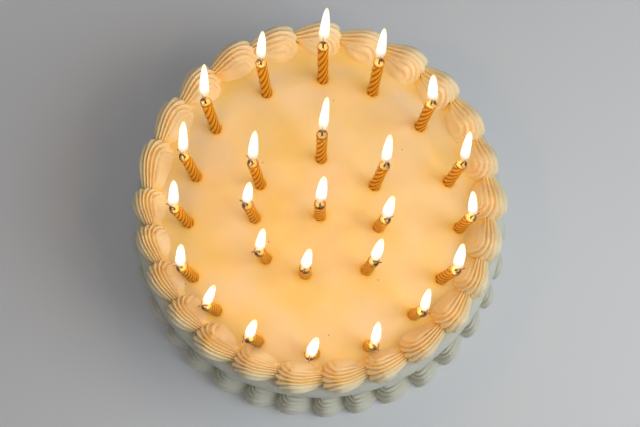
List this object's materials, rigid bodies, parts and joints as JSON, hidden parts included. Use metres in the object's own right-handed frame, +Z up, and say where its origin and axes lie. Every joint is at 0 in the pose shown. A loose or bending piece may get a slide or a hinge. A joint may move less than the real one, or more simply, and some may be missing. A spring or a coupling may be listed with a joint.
{
  "type": "birthday cake with candles",
  "caption": "Round iced birthday cake with piped shell borders at rim and foot, and rings of twisted candles pushed into the top.",
  "frame": {"origin": "on the cake's axis, in the plane it stands on", "axes": "+Z up along the cake's axis; -Y is the front, from which it is seen; +X to the right"},
  "size_m": [0.2414, 0.2412, 0.1361],
  "materials": {
    "icing": "smooth spread buttercream, soft satin",
    "piped_icing": "piped buttercream with sharp ridges, soft satin",
    "gold_wax": "gold lacquered wax, twisted",
    "burnt_wick": "charred cotton"
  },
  "bodies": {
    "root": {"cake": "icing", "top_border": "piped_icing", "base_border": "piped_icing", "candle_01": "gold_wax", "candle_02": "gold_wax", "candle_03": "gold_wax", "candle_04": "gold_wax", "candle_05": "gold_wax", "candle_06": "gold_wax", "candle_07": "gold_wax", "candle_08": "gold_wax", "candle_09": "gold_wax", "candle_10": "gold_wax", "candle_11": "gold_wax", "candle_12": "gold_wax", "candle_13": "gold_wax", "candle_14": "gold_wax", "candle_15": "gold_wax", "candle_16": "gold_wax", "candle_17": "gold_wax", "candle_18": "gold_wax", "candle_19": "gold_wax", "candle_20": "gold_wax", "candle_21": "gold_wax", "candle_22": "gold_wax", "candle_23": "gold_wax", "candle_24": "gold_wax", "candle_25": "gold_wax", "wick_01": "burnt_wick", "wick_02": "burnt_wick", "wick_03": "burnt_wick", "wick_04": "burnt_wick", "wick_05": "burnt_wick", "wick_06": "burnt_wick", "wick_07": "burnt_wick", "wick_08": "burnt_wick", "wick_09": "burnt_wick", "wick_10": "burnt_wick", "wick_11": "burnt_wick", "wick_12": "burnt_wick", "wick_13": "burnt_wick", "wick_14": "burnt_wick", "wick_15": "burnt_wick", "wick_16": "burnt_wick", "wick_17": "burnt_wick", "wick_18": "burnt_wick", "wick_19": "burnt_wick", "wick_20": "burnt_wick", "wick_21": "burnt_wick", "wick_22": "burnt_wick", "wick_23": "burnt_wick", "wick_24": "burnt_wick", "wick_25": "burnt_wick"}
  },
  "joints": []
}
